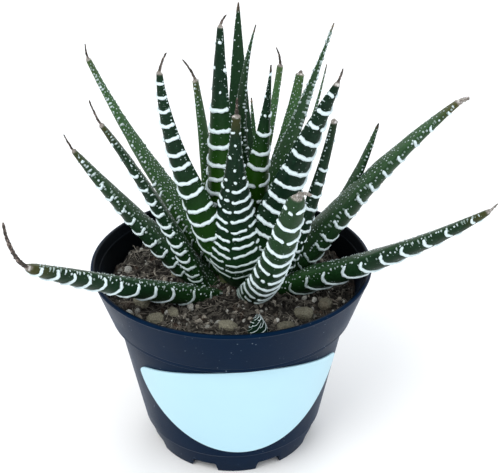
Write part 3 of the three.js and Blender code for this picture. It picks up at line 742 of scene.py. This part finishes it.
def put_dots(stack, blade, mark, at, angle, radius, faint):
    """Many small round tubercles at once, each a low bead sunk into the skin."""
    turn = np.linspace(0, 2 * math.pi, DOT_SIDES, endpoint=False)
    at, angle, radius = (np.asarray(a, float) for a in (at, angle, radius))
    width = blade.widths(at)
    depth = np.where(np.sin(angle) >= 0, FACE_RISE, BACK_DEPTH)
    run = np.sqrt((width / 2 * np.sin(angle)) ** 2 + (width * depth * np.cos(angle)) ** 2)
    rim_at = at[:, None] + radius[:, None] * np.cos(turn)
    rim_angle = angle[:, None] + radius[:, None] * np.sin(turn) / np.maximum(run, 0.6)[:, None]
    rim = blade.surface(rim_at, rim_angle, 0.12 * radius[:, None])
    top = blade.surface(at, angle, 0.75 * radius)
    low = blade.surface(at, angle, -0.6 * radius)
    points = np.concatenate([rim, top[:, None], low[:, None]], axis=1).reshape(-1, 3)
    dry = np.repeat(shades(blade, mark, at, angle)["dry"], DOT_SIDES + 2)
    faces = [tuple(i + dot * (DOT_SIDES + 2) for i in face) for dot in range(len(at)) for face in DOT_FACES]
    stack.put(points, faces, 1, dry=dry, faint=np.repeat(np.asarray(faint, float), DOT_SIDES + 2))


# Degrees round a blade: where a band ends, where it breaks first, and where it may break again.
BAND_ENDS = (179, 361)
BAND_KEEL = 258
BAND_SPLITS = ((207, 230), (300, 332))


def put_bands(stack, blade, mark, scale, rng):
    """Bands of tubercles across the back: whole near the base, broken into beads near the tip."""
    at = mark["first"]
    side = 1
    while at < blade.length - 2.0:
        share = at / blade.length
        width = float(blade.widths(at))
        swell = float(0.72 + 0.28 * smoothstep(share, 0.05, 0.35))
        radius = scale * mark["thick"] * min(1.0, 0.5 + width / 16) * swell
        if share < mark["whole"]:
            low, high = BAND_ENDS[0] + rng.uniform(0, 6), BAND_ENDS[1] - rng.uniform(0, 6)
            keel = BAND_KEEL + rng.uniform(-11, 11)
            cuts = [low, high]
            if rng.random() < mark["broken"]:
                cuts.insert(1, keel)
                if rng.random() < mark["broken"] * 0.6:
                    cuts.insert(2, rng.uniform(*BAND_SPLITS[1]))
                if rng.random() < mark["broken"] * 0.4:
                    cuts.insert(1, rng.uniform(*BAND_SPLITS[0]))
            gap = 0.5 * radius / (width * BACK_RADIUS)
            shift = (0.5 if mark["broken"] > 0.9 else 0.28) * side * radius
            bow = mark["bow"] * rng.uniform(0.7, 1.3)
            for number, (start, end) in enumerate(zip(cuts, cuts[1:])):
                start, end = math.radians(start) + gap * (number > 0), math.radians(end) - gap * (end < high)
                offset = shift * (-1) ** number + rng.uniform(-0.22, 0.22)
                tilt = rng.uniform(-0.06, 0.06)
                put_ridge(stack, blade, mark, at + offset, start, end, radius, tilt, rng, bow)
        else:
            count = max(2, int(width * 1.4 / 3.4))
            for number in range(count + (side > 0)):
                if rng.random() > mark["sparse"]:
                    continue
                degrees = 184 + 172 * (number + 0.5 * (side < 0)) / count
                middle = math.radians(degrees + rng.uniform(-7, 7))
                half = rng.uniform(0.35, 0.8) / (width * BACK_RADIUS)
                put_ridge(stack, blade, mark, at + rng.uniform(-0.5, 0.5), middle - half, middle + half,
                          radius * rng.uniform(1.0, 1.25), rng.uniform(-0.2, 0.2), rng)
        side = -side
        step = mark["spacing_base"] + (mark["spacing_tip"] - mark["spacing_base"]) * share
        at += step


def put_face_dots(stack, blade, mark, rng):
    """Fine dots in loose rows on the inner face, and teeth along both edges."""
    dots = []
    at = 3.0
    row = 0
    while at < blade.length - 1.0:
        width = float(blade.widths(at))
        count = max(1, int(width * 0.8 / mark["dots"]))
        for number in range(count):
            if rng.random() < 0.22:
                continue
            across = ((number + 0.5 + 0.5 * (row % 2)) / count - 0.5) * 0.84 + rng.uniform(-0.03, 0.03)
            angle = math.acos(max(-0.9, min(0.9, 2 * across)))
            dots.append((at + rng.uniform(-0.5, 0.5), angle, rng.uniform(0.16, 0.34), rng.uniform(0.0, 0.5)))
        at += mark["dots"] * rng.uniform(0.72, 0.92)
        row += 1
    at = 2.0
    while at < blade.length - 1.0:
        for edge in (0.0, math.pi):
            dots.append((at + rng.uniform(-0.4, 0.4), edge + rng.uniform(-0.3, 0.3),
                         mark["teeth"] * rng.uniform(0.32, 0.55) + 0.08, rng.uniform(0.1, 0.9)))
        at += rng.uniform(1.1, 1.8)
    put_dots(stack, blade, mark, *zip(*dots))


def put_back_specks(stack, blade, mark, rng):
    """A few faint specks on the green between the bands."""
    count = int(blade.length * 1.6)
    ats = [rng.uniform(3.0, blade.length - 2.0) for _ in range(count)]
    angles = [math.radians(rng.uniform(190, 350)) for _ in range(count)]
    faints = [rng.uniform(0.45, 1.0) for _ in range(count)]
    put_dots(stack, blade, mark, ats, angles, [rng.uniform(0.10, 0.22) for _ in range(count)], faints)


# ---------------------------------------------------------------- soil shapes


def soil_height(x, y):
    """Height of the soil's top, as the solid has it."""
    away = math.hypot(x - CROWN[0], y - CROWN[1])
    mound = SOIL["mound"] * math.exp(-((away / SOIL["mound_radius"]) ** 2))
    return SOIL["level"] + mound + 0.5 * math.sin(0.31 * x + 1) * math.cos(0.27 * y) + 0.3 * math.sin(0.7 * y)


def soil_surface(x, y):
    """The soil's top with lumps and crumb, dropping a little at the wall."""
    where = Vector((x * 0.22, y * 0.22, 3.1))
    lumps = noise.noise(where) * 1.1 + noise.noise(where * 3.3) * 0.55 + noise.noise(where * 9.0) * 0.32
    edge = max(0.0, math.hypot(x, y) - (SOIL["radius"] - 3.5)) / 3.5
    return soil_height(x, y) + lumps - 0.9 * edge * edge


def unit_ball(subdivisions):
    """Points and faces of a ball of triangles, made once and copied."""
    clear_selection()
    bpy.ops.mesh.primitive_ico_sphere_add(subdivisions=subdivisions, radius=1.0, location=(0, 0, 0))
    ball = active_object()
    points = np.array([vertex.co[:] for vertex in ball.data.vertices])
    faces = [tuple(face.vertices) for face in ball.data.polygons]
    bpy.data.objects.remove(ball)
    return points, faces


def random_turn(rng):
    """A random rotation as a 3 by 3 array."""
    a, b, c = (rng.uniform(0, 2 * math.pi) for _ in range(3))
    ca, sa, cb, sb, cc, sc = math.cos(a), math.sin(a), math.cos(b), math.sin(b), math.cos(c), math.sin(c)
    about_z = np.array([[ca, -sa, 0], [sa, ca, 0], [0, 0, 1]])
    about_y = np.array([[cb, 0, sb], [0, 1, 0], [-sb, 0, cb]])
    about_x = np.array([[1, 0, 0], [0, cc, -sc], [0, sc, cc]])
    return about_z @ about_y @ about_x


def put_strand(stack, points, radius, tone, sides=4, flat=1.0):
    """A thin strand through points, flattened where flat is under 1."""
    points = np.asarray(points, float)
    along = np.gradient(points, axis=0)
    along /= np.linalg.norm(along, axis=1)[:, None]
    side = np.cross(along, [0.0, 0.0, 1.0])
    side /= np.maximum(np.linalg.norm(side, axis=1), 1e-6)[:, None]
    up = np.cross(side, along)
    turn = np.linspace(0, 2 * math.pi, sides, endpoint=False)
    taper = np.sin(np.linspace(0.35, math.pi - 0.35, len(points))) ** 0.5 * radius
    rings = points[:, None] + taper[:, None, None] * (
        side[:, None] * np.cos(turn)[None, :, None] + up[:, None] * flat * np.sin(turn)[None, :, None])
    body = np.vstack([points[0], rings.reshape(-1, 3), points[-1]])
    faces = [face[::-1] for face in ring_faces(len(points), sides)]
    stack.put(body, faces, 0, tone=tone)


def scatter(rng, clear=8.0):
    """A random place on the soil, out of the plant's middle."""
    while True:
        radius = (SOIL["radius"] - 1.2) * math.sqrt(rng.random())
        angle = rng.uniform(0, 2 * math.pi)
        x, y = radius * math.cos(angle), radius * math.sin(angle)
        if math.hypot(x - CROWN[0], y - CROWN[1]) > clear:
            return x, y


# ---------------------------------------------------------------- pot and label


def pot_profile():
    """The pot's wall from the axis under its floor, up the outside, over the lip and down inside."""
    rim, foot, wall = POT["rim"], POT["foot"], POT["wall"]
    shoulder, top = POT["shoulder"], POT["height"]
    waist, waist_radius, shoulder_radius = POT["waist"], POT["waist_radius"], POT["shoulder_radius"]
    return [
        (0.0, 0.0), (foot, 0.0), (foot + 2.4, POT["foot_height"]), (waist_radius, waist),
        (shoulder_radius, shoulder), (rim - 6.2, shoulder + 0.4), (rim - 5.9, 56.8), (rim - 5.6, 57.1),
        (rim - 0.4, top - 1.4), (rim, top - 0.9), (rim - 0.3, top), (rim - 1.5, top),
        (rim - 2.8, top - 3.2), (rim - 3.1, top - 3.4), (rim - 6.2 - wall, shoulder + 1.6),
        (shoulder_radius - wall, shoulder), (waist_radius - wall, waist + 0.4), (foot + 2.4 - wall, 9.4),
        (foot - wall, wall), (0.0, wall),
    ]


def wall_radius(z):
    """Outer radius of the tapered wall at a height."""
    low, high = POT["waist_radius"], POT["shoulder_radius"]
    return low + (high - low) * (z - POT["waist"]) / (POT["shoulder"] - POT["waist"])


def drain_cutter(azimuth):
    """A block with rounded edges, narrower at its top, that cuts one notch."""
    clear_selection()
    bpy.ops.mesh.primitive_cube_add(size=1.0, location=(0, 0, 0))
    cutter = active_object()
    for vertex in cutter.data.vertices:
        x, y, z = vertex.co
        slope = 1.0 if z < 0 else 0.78
        vertex.co = ((POT["foot"] + 1 + x * 9.0) * MM, y * POT["drain_width"] * slope * MM * 1.05,
                     z * 2 * POT["drain_height"] * MM)
    edit(cutter)
    bpy.ops.mesh.bevel(offset=0.0006, segments=3, affect="EDGES")
    bpy.ops.mesh.select_all(action="SELECT")
    bpy.ops.transform.rotate(value=-azimuth, orient_axis="Z", center_override=(0, 0, 0))
    bpy.ops.object.mode_set(mode="OBJECT")
    facing = np.mean([vertex.co[:2] for vertex in cutter.data.vertices], axis=0)
    if np.dot(facing, (math.cos(azimuth), math.sin(azimuth))) < 0.9 * np.linalg.norm(facing):
        raise RuntimeError("A drain cutter points the wrong way")
    return cutter


def cut_drains(pot):
    """Cuts the arched notches round the foot with one joined cutter."""
    spacing = 360 / POT["drains"]
    cutters = [drain_cutter(math.radians(POT["drain_azimuth"] + spacing * number))
               for number in range(POT["drains"])]
    clear_selection()
    for cutter in cutters:
        cutter.select_set(True)
    bpy.context.view_layer.objects.active = cutters[0]
    bpy.ops.object.join()
    joined = active_object()
    clear_selection()
    bpy.context.view_layer.objects.active = pot
    pot.select_set(True)
    cut = pot.modifiers.new("drains", "BOOLEAN")
    cut.object = joined
    cut.operation = "DIFFERENCE"
    cut.solver = "EXACT"
    bpy.ops.object.modifier_apply(modifier=cut.name)
    bpy.data.objects.remove(joined)
    bpy.ops.object.shade_smooth_by_angle(angle=math.radians(28))


class HAWORTHIA_OT_pot(Operator):
    """Spin the pot from its profile and cut the drainage notches in its foot"""

    bl_idname = "haworthia.pot"
    bl_label = "Pot"

    def execute(self, context):
        material = pot_plastic(context.scene.haworthia_pot)
        pot = turned("plant_pot", rounded(pot_profile(), 0.45), 168, material)
        cut_drains(pot)
        adopt(pot, "pot", "pot")
        return {"FINISHED"}


class HAWORTHIA_OT_label(Operator):
    """Lay the bare label on the pot's tapered wall"""

    bl_idname = "haworthia.label"
    bl_label = "Label"

    def execute(self, context):
        settings = context.scene.haworthia_pot
        corner = LABEL["corner"]
        low_radius, low_centre = LABEL["radius"], LABEL["centre"]
        high_radius = LABEL["crown_radius"]
        high_centre = LABEL["top"] - high_radius
        a, b = low_radius - corner, high_radius - corner
        apart = low_centre - high_centre
        drop = (a * a - b * b + apart * apart) / (2 * apart)
        corner_z = low_centre - drop
        corner_x = math.sqrt(a * a - drop * drop)
        reach = corner_x + corner - 0.01

        def edge(x, centre, radius, side):
            """Height of the label's edge: a wide arc, then the small arc of the corner."""
            if abs(x) <= corner_x * radius / (radius - corner):
                return centre + side * math.sqrt(radius ** 2 - x * x)
            return corner_z + side * math.sqrt(max(0.0, corner ** 2 - (abs(x) - corner_x) ** 2))

        clear_selection()
        bpy.ops.mesh.primitive_grid_add(
            x_subdivisions=LABEL["columns"], y_subdivisions=LABEL["rows"], size=2.0)
        label = active_object()
        label.name = "plant_label"
        for vertex in label.data.vertices:
            x = reach * math.sin(vertex.co.x * math.pi / 2)
            low, high = edge(x, low_centre, low_radius, -1), edge(x, high_centre, high_radius, 1)
            z = low + (high - low) * (vertex.co.y + 1) / 2
            radius = wall_radius(z) + LABEL["gap"]
            x, y = spun(x, -math.sqrt(max(0.0, radius * radius - x * x)), LABEL["azimuth"] + 90)
            vertex.co = (x * MM, y * MM, z * MM)
        edit(label)
        weld(0.00002)
        middle = label.data.polygons[len(label.data.polygons) // 2]
        if middle.normal.y > 0:
            label.data.flip_normals()
        thicken = label.modifiers.new("paper", "SOLIDIFY")
        thicken.thickness = settings.label_thickness
        thicken.offset = 1.0
        bpy.ops.object.modifier_apply(modifier=thicken.name)
        label.data.materials.append(label_paper(settings))
        bpy.ops.object.shade_smooth_by_angle(angle=math.radians(40))
        adopt(label, "label", "label")
        return {"FINISHED"}


# ---------------------------------------------------------------- soil and stones


def soil_bed(material):
    """The body of the soil with its uneven top."""
    top = [SOIL["radius"] * ring / SOIL["rings"] for ring in range(1, SOIL["rings"] + 1)]
    rings, tones = [], []
    for radius, z in [(radius, None) for radius in top] + list(SOIL_SIDE):
        for segment in range(SOIL["segments"]):
            angle = 2 * math.pi * segment / SOIL["segments"]
            x, y = radius * math.cos(angle), radius * math.sin(angle)
            rings.append((x, y, soil_surface(x, y) if z is None else z))
            grey = noise.noise(Vector((x * 0.6, y * 0.6, 8.0))) if z is None else 0.0
            tones.append(max(0.0, grey) * 0.5)
    points = [(0.0, 0.0, soil_surface(0, 0)), *rings, (0.0, 0.0, SOIL_SIDE[-1][1])]
    faces = [face[::-1] for face in ring_faces(len(top) + len(SOIL_SIDE), SOIL["segments"])]
    stack = Stack("tone")
    stack.put(points, faces, 0, tone=[0.0, *tones, 0.0])
    return stack.piece("soil_bed", [material])


def soil_crumbs(material, count, rng):
    """Loose crumbs of peat and bark."""
    stack = Stack("tone")
    points, faces = unit_ball(1)
    for _ in range(count):
        x, y = scatter(rng)
        size = 0.28 + 0.95 * rng.random() ** 2.6
        shape = np.array([rng.uniform(0.7, 1.5), rng.uniform(0.6, 1.1), rng.uniform(0.5, 0.9)]) * size
        jag = 1 + 0.28 * np.array([rng.uniform(-1, 1) for _ in range(len(points))])
        form = (points * jag[:, None] * shape) @ random_turn(rng).T
        z = soil_surface(x, y) + size * 0.22
        tone = rng.uniform(0.6, 1.0) if rng.random() < 0.12 else 0.3 * rng.random()
        stack.put(form + np.array([x, y, z]), faces, 0, tone=tone)
    return stack.piece("soil_crumbs", [material], smooth=False)


def soil_fibres(material, count, rng):
    """Fine fibres and pale curled shreds lying on the soil, some of them arched."""
    stack = Stack("tone")
    limit = SOIL["radius"] - 0.8
    for number in range(count):
        x, y = scatter(rng, 10.0)
        is_shred = number % 9 == 0
        length = rng.uniform(3.0, 7.0) if is_shred else rng.uniform(2.5, 11.0)
        heading = rng.uniform(0, 2 * math.pi)
        drift = rng.uniform(-1.0, 1.0) * (2.2 if is_shred else 1.0)
        arch = rng.uniform(0.1, 0.6) if number % 14 else rng.uniform(1.2, 3.2)
        path = []
        for step in range(8):
            share = step / 7
            angle = heading + drift * share
            x += math.cos(angle) * length / 7
            y += math.sin(angle) * length / 7
            inside = min(1.0, limit / math.hypot(x, y))
            x, y = x * inside, y * inside
            path.append((x, y, soil_surface(x, y) + 0.22 + arch * math.sin(math.pi * share)))
        radius = rng.uniform(0.22, 0.45) if is_shred else rng.uniform(0.07, 0.15)
        # Fibres are paler towards the left, the side the key light comes from: painted light on top of their
        # own random tone.
        tone = (0.30 + 0.70 * rng.random()) * float(0.62 + 0.38 * smoothstep(-x, 2, 24))
        put_strand(stack, path, radius, tone, flat=0.35 if is_shred else 1.0)
    return stack.piece("soil_fibres", [material])


def soil_pebbles(material, rng):
    """Grit and white grains."""
    stack = Stack("tone")
    points, faces = unit_ball(2)
    for number in range(SOIL["pebbles"]):
        x, y = scatter(rng)
        size = rng.uniform(0.35, 0.8) if number % 5 else rng.uniform(0.9, 1.7)
        shape = np.array([rng.uniform(0.9, 1.4), rng.uniform(0.7, 1.1), rng.uniform(0.6, 0.9)]) * size
        jag = np.array([1 + 0.3 * noise.noise(Vector(p) * 1.4 + Vector((number, 0, 0))) for p in points])
        form = (points * jag[:, None] * shape) @ random_turn(rng).T
        tone = rng.uniform(0.75, 1.0) if number % 6 == 1 else rng.uniform(0.1, 0.6)
        stack.put(form + np.array([x, y, soil_surface(x, y) + size * 0.15]), faces, 0, tone=tone)
    return stack.piece("soil_pebbles", [material])


class HAWORTHIA_OT_soil(Operator):
    """Fill the pot with its potting mix: the bed, its crumbs, fibres and shreds"""

    bl_idname = "haworthia.soil"
    bl_label = "Soil"

    def execute(self, context):
        settings = context.scene.haworthia_soil
        rng = random.Random(SOIL["seed"])
        peat = tuple(settings.earth), tuple(settings.fibre)
        grit = (0.09, 0.085, 0.07), (0.62, 0.62, 0.58)
        adopt(soil_bed(soil_mix("soil_bed", *peat)), "soil", "soil")
        adopt(soil_crumbs(soil_mix("soil_crumb", *peat), settings.crumbs, rng), "soil")
        adopt(soil_fibres(soil_mix("soil_fibre", *peat), settings.fibres, rng), "soil")
        adopt(soil_pebbles(soil_mix("soil_pebble", *grit), rng), "soil")
        return {"FINISHED"}


class HAWORTHIA_OT_stones(Operator):
    """Shape the loose stones that lie bedded in the soil"""

    bl_idname = "haworthia.stones"
    bl_label = "Stones"

    def execute(self, context):
        pale = tuple(context.scene.haworthia_soil.stone)
        material = soil_mix("stone_rough", (0.045, 0.042, 0.032), pale)
        for number, (name, row) in enumerate(STONES.items()):
            x, y, half_x, half_y, half_z, turn, tone = row
            clear_selection()
            bpy.ops.mesh.primitive_ico_sphere_add(subdivisions=5, radius=1.0, location=(0, 0, 0))
            stone = active_object()
            stone.name = "loose_" + name
            z = soil_height(x, y) + half_z * (1 - 2 * STONE_SINK)
            for vertex in stone.data.vertices:
                p = vertex.co.copy()
                where = p * 1.3 + Vector((number * 5.1, 0, 0))
                chip = 1 + 0.16 * noise.noise(where)
                chip += 0.07 * noise.noise(where * 3) + 0.03 * noise.noise(where * 9)
                flat = Vector([max(-limit, min(limit, c)) for c, limit in zip(p, (0.82, 0.85, 0.8))])
                p = (p * 0.45 + flat * 0.65) * chip
                px, py = spun(p.x * half_x, p.y * half_y, turn)
                vertex.co = ((x + px) * MM, (y + py) * MM, (z + p.z * half_z) * MM)
            layer = stone.data.attributes.new("tone", "FLOAT", "POINT")
            layer.data.foreach_set("value", np.full(len(stone.data.vertices), tone, np.float32))
            stone.data.materials.append(material)
            bpy.ops.object.shade_smooth()
            adopt(stone, "stone", name)
        return {"FINISHED"}


# ---------------------------------------------------------------- plant


class HAWORTHIA_OT_crown(Operator):
    """Give the crown and its roots their tissue"""

    bl_idname = "haworthia.crown"
    bl_label = "Crown"

    def execute(self, context):
        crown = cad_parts["crown"]
        crown.data.materials.clear()
        crown.data.materials.append(crown_tissue())
        return {"FINISHED"}


class HAWORTHIA_OT_leaves(Operator):
    """Grow every leaf with its bands, dots and dried tip"""

    bl_idname = "haworthia.leaves"
    bl_label = "Leaves"

    def execute(self, context):
        settings = context.scene.haworthia_leaf
        materials = [leaf_skin(settings), pearl_skin(settings)]
        for number, (name, row) in enumerate(BLADES.items()):
            rng = random.Random(LEAF_SEED + number)
            mark = dict(zip(MARK_FIELDS, MARKS[name]))
            blade = Blade(*CROWN, row, mark["thread"])
            stack = Stack(*SKIN_VALUES)
            put_skin(stack, blade, mark, number)
            put_bands(stack, blade, mark, settings.band, rng)
            put_face_dots(stack, blade, mark, rng)
            put_back_specks(stack, blade, mark, rng)
            adopt(stack.piece("blade_" + name, materials), "leaf", "leaf_" + name)
        return {"FINISHED"}


class HAWORTHIA_OT_offset(Operator):
    """Grow the small offset at the pot's front edge"""

    bl_idname = "haworthia.offset"
    bl_label = "Offset"

    def execute(self, context):
        band = context.scene.haworthia_leaf.band
        materials = [bpy.data.materials["leaf_skin"], bpy.data.materials["tubercle_pearl"]]
        mark = dict(zip(MARK_FIELDS, OFFSET_MARK))
        stack = Stack(*SKIN_VALUES)
        rng = random.Random(OFFSET["seed"])
        for number in range(OFFSET["leaves"]):
            azimuth = OFFSET["azimuth"] + 360 / OFFSET["leaves"] * number
            blade = Blade(OFFSET["x"], OFFSET["y"], (azimuth, *OFFSET_LEAF))
            put_skin(stack, blade, mark, OFFSET["wrinkles"] + number, sides=20)
            put_bands(stack, blade, mark, band, rng)
        stem = Blade(OFFSET["x"], OFFSET["y"], (0, *OFFSET_STEM))
        put_skin(stack, stem, mark, OFFSET["stem_wrinkles"], sides=16)
        adopt(stack.piece("offset_rosette", materials), "leaf", "offset")
        return {"FINISHED"}


# ---------------------------------------------------------------- stage


def aim(thing, where, target):
    """Puts a lamp or camera in the scene at a place, turned to its target."""
    bpy.context.scene.collection.objects.link(thing)
    thing.location = where
    thing.rotation_euler = (target - Vector(where)).to_track_quat("-Z", "Y").to_euler()


class HAWORTHIA_OT_stage(Operator):
    """Set the floor, the soft lights and the camera"""

    bl_idname = "haworthia.stage"
    bl_label = "Stage"

    def execute(self, context):
        settings = context.scene.haworthia_stage
        clear_selection()
        bpy.ops.mesh.primitive_plane_add(size=FLOOR_SIZE, location=(0, 0, 0))
        floor = active_object()
        floor.name = "studio_floor"
        floor.data.materials.append(studio_floor())
        world = context.scene.world or bpy.data.worlds.new("studio")
        context.scene.world = world
        world.use_nodes = True
        background = world.node_tree.nodes["Background"]
        background.inputs["Color"].default_value = SURROUND_COLOUR
        background.inputs["Strength"].default_value = settings.surround
        context.scene.view_settings.view_transform = "Standard"
        for name, where, size, share, colour in LAMPS:
            data = bpy.data.lights.new(name, "AREA")
            data.shape = "DISK"
            data.size = size
            data.energy = settings.key * share
            data.color = colour
            aim(bpy.data.objects.new(name, data), where, Vector(LAMP_TARGET))
        target = Vector(CAMERA_TARGET)
        back = Vector((0.0, -math.cos(settings.elevation), math.sin(settings.elevation)))
        data = bpy.data.cameras.new("camera")
        data.lens = settings.lens
        data.sensor_width = 36.0
        data.clip_start = 0.01
        camera = bpy.data.objects.new("camera", data)
        aim(camera, target + back * settings.distance, target)
        context.scene.camera = camera
        return {"FINISHED"}


# ---------------------------------------------------------------- add-on


class HAWORTHIA_PT_panel(Panel):
    """Lists the pieces of the plant and their settings."""

    bl_label = "Potted haworthia"
    bl_idname = "HAWORTHIA_PT_panel"
    bl_space_type = "VIEW_3D"
    bl_region_type = "UI"
    bl_category = "Haworthia"

    def draw(self, context):
        column = self.layout.column()
        for operator in OPERATORS:
            column.operator(operator.bl_idname)
        for name in SETTINGS:
            group = getattr(context.scene, name)
            box = self.layout.box()
            for key in group.__annotations__:
                box.prop(group, key)


OPERATORS = (
    HAWORTHIA_OT_stage,
    HAWORTHIA_OT_pot,
    HAWORTHIA_OT_label,
    HAWORTHIA_OT_soil,
    HAWORTHIA_OT_stones,
    HAWORTHIA_OT_crown,
    HAWORTHIA_OT_leaves,
    HAWORTHIA_OT_offset,
)
SETTINGS = {
    "haworthia_pot": PotSettings,
    "haworthia_leaf": LeafSettings,
    "haworthia_soil": SoilSettings,
    "haworthia_stage": StageSettings,
}


def register():
    """Adds the settings, operators and panel."""
    for name, group in SETTINGS.items():
        bpy.utils.register_class(group)
        setattr(bpy.types.Scene, name, PointerProperty(type=group))
    for operator in OPERATORS:
        bpy.utils.register_class(operator)
    bpy.utils.register_class(HAWORTHIA_PT_panel)


def unregister():
    """Takes them away again."""
    bpy.utils.unregister_class(HAWORTHIA_PT_panel)
    for operator in reversed(OPERATORS):
        bpy.utils.unregister_class(operator)
    for name, group in SETTINGS.items():
        delattr(bpy.types.Scene, name)
        bpy.utils.unregister_class(group)


def main():
    """Builds the plant piece by piece."""
    register()
    bpy.ops.haworthia.stage()
    bpy.ops.haworthia.pot()
    bpy.ops.haworthia.label()
    bpy.ops.haworthia.soil()
    bpy.ops.haworthia.stones()
    bpy.ops.haworthia.crown()
    bpy.ops.haworthia.leaves()
    bpy.ops.haworthia.offset()


if __name__ == "__main__":
    main()
